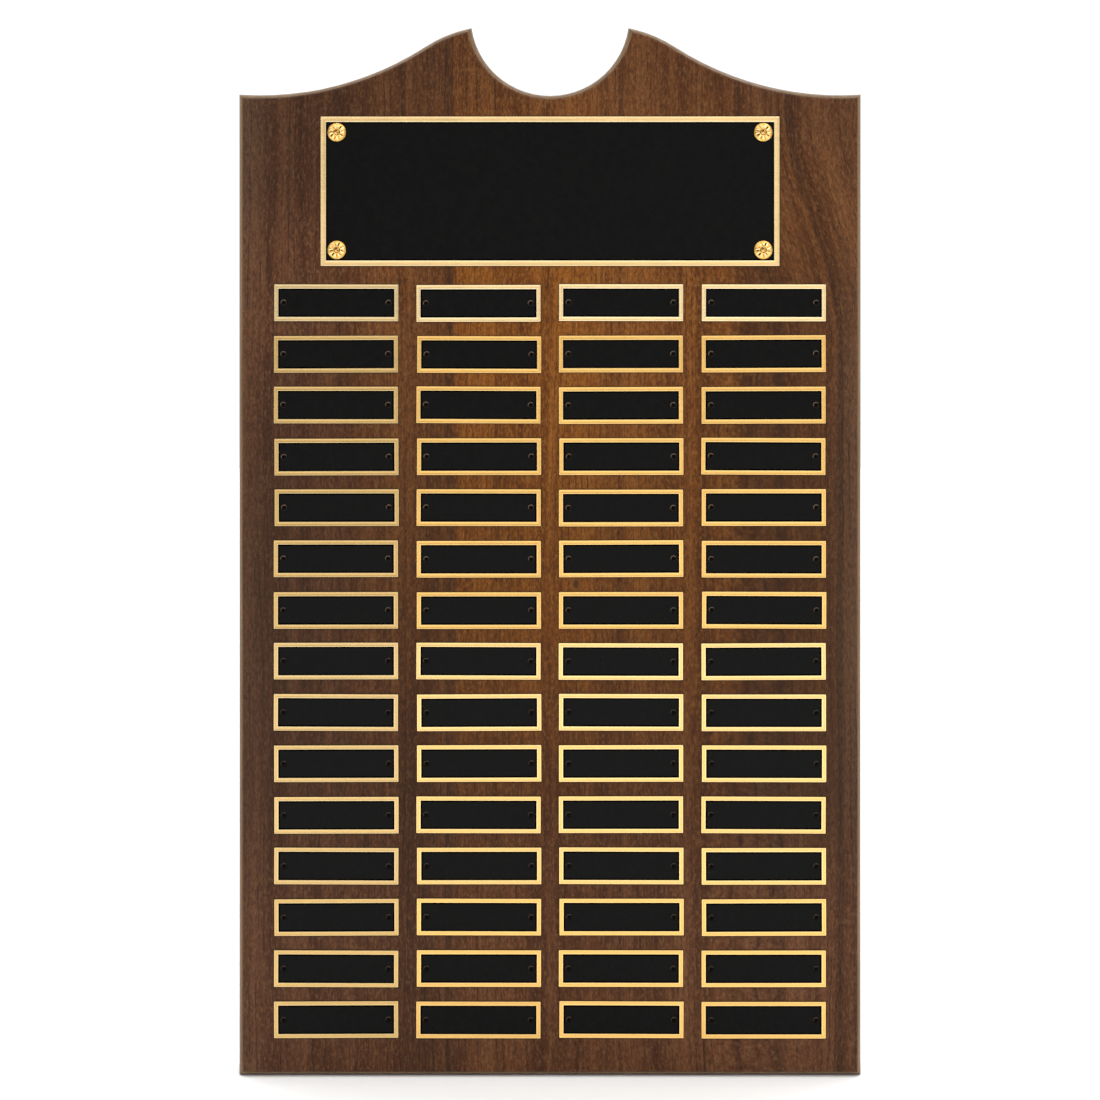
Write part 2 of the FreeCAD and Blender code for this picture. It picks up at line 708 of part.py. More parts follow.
# ---------------------------------------------------------------- assembly
def build():
    """Every sub-part of the plaque, each an object whose Label is its node's name."""
    blank = board_blank()
    header = header_plate()
    plates, pins = nameplate_rows(nameplate(), nameplate_pin())
    caps, nails = rosettes(rosette_cap(), rosette_nail())
    recess = round_ended(
        "hanger_recess", "Sizes.hanger_width / 2", *hanger_ends(), "Sizes.hanger_thickness"
    )
    room = round_ended(
        "head_room", "Sizes.head_room_width / 2", *head_room_ends(), "Sizes.head_room_depth"
    )
    screw_hole = countersunk_blank("screw_hole")
    hanger_plates, screws, spaces = hangers(keyhole_plate(), recess, room, hanger_screw(), screw_hole)

    front_holes = group("front_fasteners", [*pins, nails])
    back_holes = group("back_spaces", spaces)
    depth, skin = "Sizes.board_thickness", "Sizes.veneer_thickness"
    splice = "Sizes.splice_x"
    left = layer("face_left", blank, f"{depth} - {skin}", depth, right=splice)
    right = layer("face_right", blank, f"{depth} - {skin}", depth, left=splice)
    middle = layer("core", blank, skin, f"{depth} - {skin}")
    rear = layer("back", blank, "0", skin)
    return [
        cut("core_panel", cut("core_front", middle, front_holes), back_holes),
        cut("face_veneer_left", left, front_holes),
        cut("face_veneer_right", right, front_holes),
        cut("back_veneer", rear, back_holes),
        header,
        *caps,
        nails,
        *plates,
        *pins,
        *hanger_plates,
        *screws,
    ]


def check(pieces):
    """Stop if anything in the document failed, or if a sub-part is missing or not a valid solid."""
    failed = [item.Name for item in doc.Objects if {"Invalid", "Error"} & set(item.State)]
    assert not failed, f"failed objects: {failed}"
    for piece in pieces:
        shape = piece.Shape
        assert not shape.isNull() and shape.isValid() and shape.Solids, piece.Label


def write(pieces):
    os.makedirs("parts", exist_ok=True)
    for piece in pieces:
        piece.Shape.exportStep(f"parts/{piece.Label}.step")


pieces = build()
doc.recompute()
check(pieces)
write(pieces)
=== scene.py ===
import math
import random

import bmesh
import bpy
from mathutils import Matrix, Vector

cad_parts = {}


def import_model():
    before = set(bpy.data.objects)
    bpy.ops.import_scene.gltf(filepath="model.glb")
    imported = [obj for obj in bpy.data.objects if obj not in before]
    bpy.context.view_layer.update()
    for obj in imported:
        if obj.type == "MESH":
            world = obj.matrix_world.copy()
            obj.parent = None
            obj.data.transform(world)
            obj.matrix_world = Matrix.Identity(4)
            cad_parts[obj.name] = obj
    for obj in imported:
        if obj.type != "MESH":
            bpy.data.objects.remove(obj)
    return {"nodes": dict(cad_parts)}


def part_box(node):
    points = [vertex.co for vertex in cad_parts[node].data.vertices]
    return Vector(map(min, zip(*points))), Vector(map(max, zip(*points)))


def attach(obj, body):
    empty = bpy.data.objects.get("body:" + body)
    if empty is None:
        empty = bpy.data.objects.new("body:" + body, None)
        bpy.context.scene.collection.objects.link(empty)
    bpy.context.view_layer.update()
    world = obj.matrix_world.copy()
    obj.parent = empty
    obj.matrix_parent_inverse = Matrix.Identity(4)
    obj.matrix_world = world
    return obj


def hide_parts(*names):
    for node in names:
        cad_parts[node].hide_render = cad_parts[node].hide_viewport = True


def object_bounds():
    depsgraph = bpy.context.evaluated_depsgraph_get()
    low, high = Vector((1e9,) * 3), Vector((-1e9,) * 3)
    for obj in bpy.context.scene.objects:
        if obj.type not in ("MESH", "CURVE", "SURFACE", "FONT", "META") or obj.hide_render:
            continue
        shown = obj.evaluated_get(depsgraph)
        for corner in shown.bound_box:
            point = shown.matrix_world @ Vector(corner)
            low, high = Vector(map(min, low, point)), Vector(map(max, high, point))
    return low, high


# The looks of a walnut wall plaque. Metres, +Z up, the front faces -Y, the back face lies on y = 0.
# The plates and the rosette caps get new meshes in their CAD nodes' places. All other nodes are only
# painted.

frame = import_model()
CAD_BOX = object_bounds()
NODES = frame["nodes"]
MM = 0.001
ROWS = 15
COLUMNS = 4
COLUMN_PITCH = 72.35 * MM


# ---------------------------------------------------------------- node trees
class Tree:
    """A node tree, with short ways to add nodes and join them."""

    def __init__(self, tree):
        self.tree = tree

    def add(self, kind, inputs=None, **settings):
        node = self.tree.nodes.new("ShaderNode" + kind)
        for name, value in settings.items():
            setattr(node, name, value)
        for name, value in (inputs or {}).items():
            self.put(node.inputs[name], value)
        return node

    def put(self, socket, value):
        if isinstance(value, bpy.types.NodeSocket):
            self.tree.links.new(value, socket)
        else:
            socket.default_value = value

    def maths(self, operation, *values):
        return self.add("Math", dict(enumerate(values)), operation=operation).outputs[0]

    def total(self, *values):
        result = values[0]
        for value in values[1:]:
            result = self.maths("ADD", result, value)
        return result

    def times(self, *values):
        result = values[0]
        for value in values[1:]:
            result = self.maths("MULTIPLY", result, value)
        return result

    def span(self, value, low, high, to_low=0.0, to_high=1.0):
        """The value eased from to_low at low to to_high at high, and held beyond them."""
        inputs = {0: value, 1: low, 2: high, 3: to_low, 4: to_high}
        return self.add("MapRange", inputs, interpolation_type="SMOOTHSTEP").outputs[0]


class Graph(Tree):
    """A material's node tree, with its surface shader and the object's own coordinates."""

    def __init__(self, name):
        self.material = bpy.data.materials.new(name)
        self.material.use_nodes = True
        super().__init__(self.material.node_tree)
        self.surface = self.tree.nodes["Principled BSDF"]
        self.place = self.add("TexCoord").outputs["Object"]
        self.x, self.y, self.z = self.add("SeparateXYZ", {0: self.place}).outputs

    def finish(self, **values):
        """Set the surface's sockets, named with _ for a space, and return the material."""
        for name, value in values.items():
            self.put(self.surface.inputs[name.replace("_", " ")], value)
        return self.material

    def point(self, x, y, z):
        return self.add("CombineXYZ", {0: x, 1: y, 2: z}).outputs[0]

    def grey(self, value):
        return self.point(value, value, value)

    def shifted(self, vector, offset):
        return self.add("VectorMath", {0: vector, 1: offset}, operation="ADD").outputs[0]

    def scaled(self, vector, factors):
        return self.add("VectorMath", {0: vector, 1: factors}, operation="MULTIPLY").outputs[0]

    def noise(self, vector, stretch, detail, roughness=0.5):
        """Noise from about 0.2 to 0.8, with this many features to the metre along X, Y and Z."""
        scaled = self.scaled(vector, stretch)
        inputs = {"Vector": scaled, "Scale": 1.0, "Detail": detail, "Roughness": roughness}
        return self.add("TexNoise", inputs).outputs[0]

    def mix(self, factor, first, second, blend_type="MIX"):
        node = self.add("Mix", data_type="RGBA", blend_type=blend_type)
        for number, value in ((0, factor), (6, first), (7, second)):
            self.put(node.inputs[number], value)
        return node.outputs[2]

    def ramp(self, factor, *stops):
        """A colour ramp with (place, red, green, blue) stops."""
        node = self.add("ValToRGB", {0: factor})
        ends = node.color_ramp.elements
        while len(ends) < len(stops):
            ends.new(0.5)
        for end, (place, *colour) in zip(ends, stops):
            end.position = place
            end.color = (*colour, 1.0)
        return node.outputs[0]

    def relief(self, height, depth, strength):
        """A bump from a height of 0 to 1, depth metres deep."""
        inputs = {"Height": height, "Distance": depth, "Strength": strength}
        return self.add("Bump", inputs).outputs[0]


# ---------------------------------------------------------------- objects
def placed(name, data):
    """A new object in the scene with this data."""
    made = bpy.data.objects.new(name, data)
    bpy.context.scene.collection.objects.link(made)
    return made


def meshed(name, mesh, materials):
    """A new object in the scene from a bmesh, which is freed, with these materials in its slots."""
    data = bpy.data.meshes.new(name)
    mesh.to_mesh(data)
    mesh.free()
    for material in materials:
        data.materials.append(material)
    return placed(name, data)


def paint(node, material):
    for slot in NODES[node].material_slots:
        slot.material = material


# ---------------------------------------------------------------- wood
DARK_GRAIN = (0.020, 0.010, 0.005, 1.0)
# The olive-grey of the painted sheen towards both side edges of the face.
PAINTED_SHEEN_COLOUR = (0.118, 0.068, 0.040, 1.0)
SPLICE = -0.047
KNOT_X, KNOT_Z = 0.0132, -0.0165


def grain_lines(g, across, lines):
    """How dark the drawn grain lines are at this distance across. Each line is (middle, half width,
    strength), the first two in mm."""
    parts = []
    for middle, half, strength in lines:
        gap = g.maths("ABSOLUTE", g.maths("SUBTRACT", across, middle * MM))
        parts.append(g.span(gap, 0.0, half * MM, strength, 0.0))
    return g.total(*parts)


def heartwood_and_highlight_share(g, warmth, sway, splice):
    """How much of the wood is warm, from 0 to 1: warm heartwood together with a painted warm highlight,
    most in the middle of the board, just below the header plate. To the left of the splice, if there is
    one, it is half as much."""
    share = g.times(
        g.span(g.x, -0.130, -0.055, 0.0, warmth),
        g.span(g.x, 0.013, 0.033, 1.0, 0.74),
        g.span(g.x, 0.106, 0.088, 0.45, 1.0),
        g.span(g.z, 0.250, 0.155, 0.36, 1.0),
        g.span(g.z, -0.190, -0.010, 0.12, 1.0),
    )
    if splice is None:
        return share
    side = g.total(g.x, g.times(sway, 0.004), g.times(g.z, 0.006))
    return g.times(share, g.span(side, splice - 0.003, splice + 0.002, 0.50, 1.0))


def shaded_face(g, colour):
    """Darkens the face: least along the bottom, most in the middle rows and between the two at the top.
    The right margin is darker from the header plate down. The left side is paler just below the header
    plate and darker higher up. Both side edges get a cloudy, pale olive-grey painted sheen."""
    above = g.span(g.z, -0.205, -0.110)
    top = g.span(g.z, -0.015, 0.120, 0.05, -0.15)
    dark_side = g.times(g.span(g.x, 0.082, 0.104), g.span(g.x, 0.124, 0.150, 1.0, 0.35))
    outer = g.times(dark_side, g.span(g.z, 0.190, 0.110))
    band = g.times(g.span(g.z, 0.070, 0.130), g.span(g.z, 0.150, 0.190, 1.0, -0.5))
    pale = g.times(g.span(g.x, -0.060, -0.095), band, -0.22)
    darkening = g.total(0.31, top, g.times(outer, 0.22), pale)
    shade = g.maths("SUBTRACT", 0.98, g.times(above, darkening))
    colour = g.mix(1.0, colour, g.grey(shade), "MULTIPLY")

    # Painted sheen: a cloudy pale olive-grey towards both side edges, a reflection painted into the
    # colour.
    cloudy = g.span(g.noise(g.place, (9.0, 9.0, 5.0), 1.0), 0.32, 0.62, 0.15, 1.0)
    painted_sheen = g.times(g.span(g.maths("ABSOLUTE", g.x), 0.136, 0.158, 0.0, 0.42), cloudy)
    return g.mix(painted_sheen, colour, PAINTED_SHEEN_COLOUR)


def walnut(name, offset, lines, splice=None, warmth=1.0, bend=0.0, sheen=0.10, contrast=1.0):
    """Walnut veneer with its grain up the board: soft streaks, thin dark lines, short pores and satin
    lacquer. lines are its drawn grain lines.

    On the right, below the header plate, the streaks curve outwards by up to bend, as they do beside a
    cathedral figure. A leaf with a splice also has a small knot. With no warmth there is no heartwood,
    no painted warm highlight, and none of the face's darkening or painted sheen."""
    g = Graph(name)
    spot = g.shifted(g.place, offset)
    wander = g.maths("SUBTRACT", g.noise(spot, (6.0, 6.0, 3.0), 1.0), 0.5)
    sway = g.maths("SUBTRACT", g.noise(spot, (26.0, 26.0, 8.0), 1.0), 0.5)
    curl = g.times(g.span(g.x, 0.070, 0.132), g.span(g.z, 0.225, 0.105, 0.0, -bend))
    ripple = g.maths("SUBTRACT", g.noise(spot, (75.0, 75.0, 60.0), 2.0), 0.5)
    swings = (g.times(wander, 0.012), g.times(sway, 0.0028), g.times(ripple, 0.0022))
    across = g.total(g.x, curl, *swings)
    grain = g.shifted(g.point(across, g.y, g.z), offset)

    broad = g.span(g.noise(grain, (62.0, 40.0, 2.4), 2.0), 0.30, 0.70)
    streak = g.span(g.noise(grain, (210.0, 90.0, 5.0), 3.0, 0.6), 0.28, 0.72)
    fibre = g.span(g.noise(grain, (900.0, 300.0, 46.0), 3.0, 0.6), 0.30, 0.70)
    flecks = g.noise(grain, (1050.0, 500.0, 420.0), 2.0, 0.55)
    fleck, pit = g.span(flecks, 0.53, 0.66), g.span(flecks, 0.47, 0.36)
    speck = g.span(g.noise(grain, (1500.0, 900.0, 650.0), 2.0, 0.6), 0.30, 0.70)
    pore = g.span(g.noise(grain, (2300.0, 900.0, 330.0), 1.0), 0.58, 0.70)

    # Thin dark rings, about 3 mm apart, that come and go in patches.
    drift = g.times(g.noise(grain, (30.0, 20.0, 4.0), 2.0), 4.0)
    ring_place = g.total(g.times(across, 330.0), drift)
    ring = g.span(g.maths("PINGPONG", ring_place, 0.5), 0.0, 0.17, 1.0, 0.0)
    patch = g.span(g.noise(grain, (150.0, 60.0, 13.0), 2.0, 0.6), 0.42, 0.62)

    # A softer contrast keeps about the same middle tone.
    tone = g.total(
        g.times(broad, 0.32 * contrast),
        g.times(streak, 0.30 * contrast),
        g.times(fibre, 0.20),
        g.times(speck, 0.26),
        -0.06 + (1.0 - contrast) * 0.32,
    )
    cool = g.ramp(
        tone,
        (0.05, 0.032, 0.0110, 0.0046),
        (0.45, 0.072, 0.0265, 0.0112),
        (0.72, 0.104, 0.0415, 0.0185),
        (1.00, 0.150, 0.0660, 0.0310),
    )
    warm = g.ramp(
        tone,
        (0.05, 0.086, 0.0240, 0.0030),
        (0.45, 0.176, 0.0540, 0.0065),
        (0.72, 0.258, 0.0850, 0.0110),
        (1.00, 0.370, 0.1350, 0.0200),
    )
    # Warm heartwood together with a painted warm highlight, strongest just below the header plate.
    heart_and_highlight = heartwood_and_highlight_share(g, warmth, sway, splice)
    colour = g.mix(heart_and_highlight, cool, warm)
    bright = g.mix(heart_and_highlight, (0.150, 0.080, 0.036, 1.0), (0.330, 0.145, 0.034, 1.0))
    colour = g.mix(g.times(fleck, 0.40), colour, bright)
    if warmth > 0.0:
        colour = shaded_face(g, colour)

    drawn = grain_lines(g, g.total(g.x, g.times(sway, 0.0012), curl), lines)
    rings = g.times(ring, patch, 0.50 * contrast)
    marks = g.total(drawn, g.times(pore, 0.42), g.times(pit, 0.32), rings)
    if splice is not None:
        aside = g.maths("SUBTRACT", g.x, KNOT_X)
        beside = g.point(aside, 0.0, g.times(g.total(g.z, -KNOT_Z), 0.6))
        knot = g.add("VectorMath", {0: beside}, operation="LENGTH").outputs["Value"]
        marks = g.total(marks, g.span(knot, 0.0006, 0.0026, 0.62, 0.0))
    colour = g.mix(g.maths("MINIMUM", marks, 0.85), colour, DARK_GRAIN)

    raised = g.total(g.times(fibre, 0.5), g.times(speck, 0.3))
    height = g.maths("SUBTRACT", raised, g.times(pore, 0.8))
    return g.finish(
        Base_Color=colour,
        Roughness=g.total(0.36, g.times(speck, 0.10), g.times(pore, 0.12)),
        Specular_IOR_Level=sheen,
        Normal=g.relief(height, 0.00006, 0.5),
    )


LEFT_LINES = (
    (-73.5, 7.0, 0.22),
    (-81.0, 0.9, 0.35),
    (-84.2, 0.8, 0.30),
    (-107.0, 2.6, 0.20),
    (-133.0, 2.2, 0.20),
)
RIGHT_LINES = (
    (-62.0, 17.0, 0.24),
    (-51.5, 3.2, 0.34),
    (-37.0, 0.9, 0.30),
    (-27.4, 0.8, 0.26),
    (35.4, 1.3, 0.32),
    (77.2, 0.9, 0.28),
    (94.8, 2.4, 0.36),
    (121.5, 2.6, 0.42),
    (131.0, 1.6, 0.25),
)
BACK_LINES = ((-62.0, 1.8, 0.20), (48.0, 2.4, 0.22))


def edge_lacquer():
    """The board's edge: stained and lacquered tan brown, with faint grain and a little rubbing."""
    g = Graph("edge_lacquer")
    grain = g.span(g.noise(g.place, (420.0, 420.0, 26.0), 3.0, 0.6), 0.30, 0.70)
    speck = g.span(g.noise(g.place, (1700.0, 1700.0, 1100.0), 2.0), 0.35, 0.65)
    rub = g.span(g.noise(g.place, (34.0, 34.0, 34.0), 3.0, 0.7), 0.56, 0.76, 0.0, 0.4)
    tone = g.total(0.14, g.times(grain, 0.38), g.times(speck, 0.20), g.times(rub, 0.4))
    colour = g.ramp(
        tone,
        (0.0, 0.098, 0.054, 0.026),
        (0.5, 0.162, 0.096, 0.046),
        (1.0, 0.260, 0.165, 0.086),
    )
    return g.finish(
        Base_Color=colour,
        Roughness=g.total(0.18, g.times(speck, 0.08), g.times(rub, 0.20)),
        Specular_IOR_Level=0.07,
        Normal=g.relief(g.total(grain, speck), 0.00004, 0.25),
    )


# ---------------------------------------------------------------- metal, enamel
BAND_BRUSH, LINE_BRUSH = 0.07, 0.03


def brass(name, colour, roughness, brushed):
    """Brass under clear lacquer, with fine brush lines along the plate. brushed is how strong they are.
    The tone attribute is each plate's painted reflection, its brightness and yellowness, with a small
    random spread."""
    g = Graph(name)
    brush = g.span(g.noise(g.place, (90.0, 500.0, 5200.0), 2.0, 0.6), 0.30, 0.70)
    cloud = g.span(g.noise(g.place, (36.0, 36.0, 60.0), 3.0, 0.6), 0.30, 0.70)
    # Painted reflection: each plate's brightness and yellowness, from the tone attribute.
    painted_reflection = g.add("Attribute", attribute_name="tone").outputs["Color"]
    shade = g.total(0.93, g.times(brush, brushed), g.times(cloud, 0.05))
    tinted = g.mix(1.0, (*colour, 1.0), painted_reflection, "MULTIPLY")
    return g.finish(
        Base_Color=g.mix(1.0, tinted, g.grey(shade), "MULTIPLY"),
        Metallic=1.0,
        Roughness=g.total(roughness, g.times(brush, 0.08), g.times(cloud, 0.04)),
        Normal=g.relief(brush, 0.000004, 0.5 * brushed / BAND_BRUSH),
    )


def enamel(name, depth, shine=0.06):
    """Baked black enamel: even, with a faint mottle and a few specks of dust. depth is how pale the
    black is, and shine how glossy."""
    g = Graph(name)
    mottle = g.span(g.noise(g.place, (240.0, 240.0, 240.0), 3.0, 0.6), 0.30, 0.70)
    cell = g.add("TexVoronoi", {"Vector": g.scaled(g.place, (110.0, 110.0, 110.0)), "Scale": 1.0})
    spot = g.span(cell.outputs["Distance"], 0.012, 0.032, 1.0, 0.0)
    chosen = g.span(g.add("SeparateColor", {0: cell.outputs["Color"]}).outputs[0], 0.78, 0.84)
    dust = g.times(spot, chosen, 0.35)
    base = g.ramp(
        mottle,
        (0.0, 0.0035 * depth, 0.0035 * depth, 0.0034 * depth),
        (1.0, 0.0043 * depth, 0.0042 * depth, 0.0040 * depth),
    )
    return g.finish(
        Base_Color=g.mix(dust, base, (0.16, 0.13, 0.10, 1.0)),
        Roughness=g.total(0.24, g.times(mottle, 0.05), g.times(dust, 0.5)),
        Specular_IOR_Level=shine,
        Normal=g.relief(mottle, 0.00001, 0.10),
    )


def pin_black():
    """Black oxide on a domed pin head, with a painted brown reflection round the rim, most of all on its
    upper left and on the upper plates."""
    g = Graph("pin_black")
    wear_and_reflection_noise = g.span(g.noise(g.place, (900.0, 900.0, 900.0), 3.0, 0.6), 0.30, 0.60)
    nx, ny, nz = g.add("SeparateXYZ", {0: g.add("TexCoord").outputs["Normal"]}).outputs
    # Painted reflection: a brown arc round the rim, turned to the upper left and fading on the lower
    # plates.
    rim = g.span(ny, -0.90, -0.74)
    high = g.span(g.maths("SUBTRACT", nz, g.times(nx, 0.6)), -0.10, 0.45, 0.12, 1.0)
    reflection_height_fade = g.span(g.z, -0.070, 0.010, 0.35, 1.0)
    rim_reflection = g.times(rim, high, reflection_height_fade, g.total(0.55, g.times(wear_and_reflection_noise, 0.45)))
    return g.finish(
        Base_Color=g.mix(rim_reflection, (0.0012, 0.0010, 0.0010, 1.0), (0.170, 0.115, 0.075, 1.0)),
        Roughness=g.total(0.30, g.times(rim_reflection, 0.15)),
        Specular_IOR_Level=0.04,
        Normal=g.relief(wear_and_reflection_noise, 0.00002, 0.3),
    )


def gold_cap():
    """Bright gilt brass. The cap's attribute is up to 1 where it is dark brown: patina in the grooves and
    the crease, and painted shade high in the dimple. It is down to -1 for a painted pale highlight."""
    g = Graph("gold_cap")
    tarnish_and_shading = g.add("Attribute", attribute_name="tarnish_and_shading").outputs["Fac"]
    cloud = g.span(g.noise(g.place, (620.0, 620.0, 620.0), 2.0, 0.5), 0.30, 0.70)
    gilt = g.mix(cloud, (0.68, 0.37, 0.080, 1.0), (0.90, 0.57, 0.185, 1.0))
    # Painted highlight: the gilt is pale where the attribute is below 0.
    gilt = g.mix(g.span(tarnish_and_shading, -0.10, -0.80), gilt, (1.0, 0.84, 0.50, 1.0))
    dark = g.span(tarnish_and_shading, 0.15, 0.75)
    return g.finish(
        Base_Color=g.mix(dark, gilt, (0.050, 0.016, 0.005, 1.0)),
        Metallic=1.0,
        Roughness=g.total(0.15, g.times(cloud, 0.05), g.times(dark, 0.30)),
        Normal=g.relief(cloud, 0.00001, 0.2),
    )


def zinc(name, tint, roughness):
    """Zinc plate, softly clouded, with fine scratches."""
    g = Graph(name)
    cloud = g.span(g.noise(g.place, (160.0, 160.0, 160.0), 4.0, 0.65), 0.30, 0.70)
    scratch = g.span(g.noise(g.place, (2600.0, 900.0, 140.0), 2.0), 0.60, 0.74)
    dull = tuple(channel * 0.72 for channel in tint)
    colour = g.mix(cloud, (*dull, 1.0), (*tint, 1.0))
    return g.finish(
        Base_Color=g.mix(g.times(scratch, 0.25), colour, (0.85, 0.85, 0.83, 1.0)),
        Metallic=1.0,
        Roughness=g.total(roughness, g.times(cloud, 0.14)),
        Normal=g.relief(g.total(cloud, scratch), 0.00001, 0.3),
    )


# ---------------------------------------------------------------- plates
EDGE, LINE, BAND, MARGIN, FIELD = range(5)
HEADER_BORDER, NAMEPLATE_BORDER = 2.9, 2.3
CORNER_RADIUS, LEAST_RADIUS = 0.35, 0.03
CORNER_STEPS = 4
CORNERS = ((1, 1), (-1, 1), (-1, -1), (1, -1))
PLAIN_TINT = (1.0, 1.0, 1.0, 1.0)


def section(border):
    """A plate's section from its outer edge inwards, in mm: how far in, how far below the front face,
    and which of the plate's materials the strip from here to the next has. The first is on the back.

    A dark rim, a painted contact shadow round the plate's edge, is followed by a bright line, a band, a
    second bright line, a black margin and the enamel field."""
    return (
        (0.00, None, EDGE),
        (0.00, 0.14, EDGE),
        (0.26, 0.04, LINE),
        (0.38, 0.00, LINE),
        (0.58, 0.02, BAND),
        (0.66, 0.04, BAND),
        (border - 0.58, 0.04, BAND),
        (border - 0.50, 0.02, LINE),
        (border - 0.28, 0.00, LINE),
        (border - 0.06, 0.02, LINE),
        (border, 0.06, MARGIN),
        (border + 0.74, 0.06, FIELD),
    )


def rounded_loop(half_width, half_height, radius):
    """Points round a rectangle with rounded corners, the same number for any size."""
    points = []
    for corner, (sx, sz) in enumerate(CORNERS):
        for step in range(CORNER_STEPS + 1):
            angle = math.pi / 2 * (corner + step / CORNER_STEPS)
            x = sx * (half_width - radius) + radius * math.cos(angle)
            z = sz * (half_height - radius) + radius * math.sin(angle)
            points.append((x, z))
    return points


def lie_of(points):
    """The centre, half width, half height and turn of a nearly level plate, from its outer corners."""
    found = [max(points, key=lambda p: sx * p.x + sz * p.z) for sx, sz in CORNERS]
    centre = sum(found, Vector()) / 4
    top, side = found[0] - found[1], found[0] - found[3]
    turn = math.atan2(top.z, top.x)
    return centre, math.hypot(top.x, top.z) / 2, math.hypot(side.x, side.z) / 2, turn


def add_plate(mesh, tone, points, border, tint):
    """One bordered plate in the place of the CAD plate that has these vertices."""
    centre, half_width, half_height, turn = lie_of(points)
    back, front = max(p.y for p in points), min(p.y for p in points)
    cosine, sine = math.cos(turn), math.sin(turn)
    loops, slots = [], []
    for inset, drop, slot in section(border):
        inset *= MM
        y = back if drop is None else front + drop * MM
        radius = max(CORNER_RADIUS * MM - 0.5 * inset, LEAST_RADIUS * MM)
        loop = []
        for x, z in rounded_loop(half_width - inset, half_height - inset, radius):
            spot = (centre.x + x * cosine - z * sine, y, centre.z + x * sine + z * cosine)
            loop.append(mesh.verts.new(spot))
        loops.append(loop)
        slots.append(slot)
    made = [(mesh.faces.new(loops[0]), EDGE)]
    for outer, inner, slot in zip(loops, loops[1:], slots):
        for i in range(len(outer)):
            j = (i + 1) % len(outer)
            made.append((mesh.faces.new((outer[i], inner[i], inner[j], outer[j])), slot))
    made.append((mesh.faces.new(reversed(loops[-1])), FIELD))
    for face, slot in made:
        face.material_index = slot
        face.smooth = slot in (LINE, BAND)
        face[tone] = tint


def plates(name, node, groups, border, tints, materials):
    """A piece with a bordered plate for each group of the CAD node's vertices. materials are in the
    order of EDGE to FIELD."""
    mesh = bmesh.new()
    tone = mesh.faces.layers.float_color.new("tone")
    for points, tint in zip(groups, tints):
        add_plate(mesh, tone, points, border, tint)
    bmesh.ops.recalc_face_normals(mesh, faces=mesh.faces)
    piece = meshed(name, mesh, materials)
    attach(piece, "root")
    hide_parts(node)
    return piece


def vertices(node):
    return [v.co.copy() for v in NODES[node].data.vertices]


def columns(points):
    """The vertices of a row's four plates, left to right."""
    groups = [[] for _ in range(COLUMNS)]
    for p in points:
        groups[round(p.x / COLUMN_PITCH + (COLUMNS - 1) / 2)].append(p)
    return groups


# Painted reflection in the plates' brass: how bright each column's brass looks, and how bright and
# how yellow each row's looks, from the top.
COLUMN_REFLECTION_LEVELS = (0.74, 0.97, 1.02, 1.0)
ROW_REFLECTION_LEVELS = (1.0,) + (0.88,) * 6 + (0.96,) * 8
ROW_REFLECTION_YELLOWS = (-0.10,) + (0.70,) * 6 + (0.32,) * 2 + (0.45,) * 3 + (0.65,) * 3
FIRST_REFLECTION_LIFT = 1.08
HAND_SPREAD = 0.03
TINT_SEED = 5


def plate_reflection_tint(row, column, hand):
    """Each plate's brass colour, with a painted reflection and a small random spread. The top row is
    palest, the next six are deep yellow, and below them the rows start paler and grow yellower. The
    left column is duller and less yellow, its first plate not so dull."""
    # Painted reflection, with a small random spread for each plate.
    level = COLUMN_REFLECTION_LEVELS[column] * ROW_REFLECTION_LEVELS[row] * (FIRST_REFLECTION_LIFT if row == column == 0 else 1.0)
    level *= 1.0 + hand.uniform(-HAND_SPREAD, HAND_SPREAD)
    yellow = ROW_REFLECTION_YELLOWS[row] * (0.5 if column == 0 else 1.0)
    return (level, level * math.exp(-0.25 * yellow), level * math.exp(-0.88 * yellow), 1.0)


# ---------------------------------------------------------------- rosettes
# Lengths in mm. CROWN is half of how far each petal falls away to its grooves, and is there between the
# radii CROWN_FROM and CROWN_TO.
PETALS = 9
STEPS_PER_PETAL = 22
GROOVE = 0.42
CROWN, CROWN_FROM, CROWN_TO = 0.06, 2.1, 3.9
CREASE_RADIUS = 1.43
# Each cap's turn in degrees.
CAP_TURNS = {"top_left": 10, "top_right": 6, "bottom_left": 28, "bottom_right": 27}
# (radius, height) in mm, from the dimple outwards over the ring, the crease, the petals and the rim.
CAP_PROFILE = (
    (0.00, 1.02), (0.28, 1.02), (0.50, 1.05), (0.66, 1.14), (0.80, 1.28), (0.94, 1.40), (1.06, 1.45),
    (1.18, 1.43), (1.28, 1.34), (1.38, 1.25), (1.50, 1.24), (1.62, 1.32), (1.76, 1.44), (1.94, 1.50),
    (2.16, 1.49), (2.46, 1.44), (2.76, 1.37), (3.06, 1.28), (3.34, 1.17), (3.58, 1.05), (3.80, 0.92),
    (3.98, 0.78), (4.10, 0.69), (4.22, 0.68), (4.34, 0.74), (4.46, 0.73), (4.58, 0.65), (4.69, 0.46),
    (4.76, 0.24), (4.77, 0.00),
)


def groove_depth(radius, angle):
    """How deep, from 0 to 1, the petal grooves are at this radius in mm and angle."""
    step = 2 * math.pi / PETALS
    off = (angle + step / 2) % step - step / 2
    width = 0.29 + 0.08 * (radius - 1.9)
    along = min(1.0, max(0.0, (radius - 1.95) / 0.25)) * min(1.0, max(0.0, (3.90 - radius) / 0.30))
    return math.exp(-((radius * math.sin(off) / max(width, 0.05)) ** 2)) * along


# How dark each groove is, from 0 to 1.
PETAL_TARNISH = (0.50, 1.00, 0.15, 0.20, 0.90, 1.00, 0.55, 0.45, 0.70)


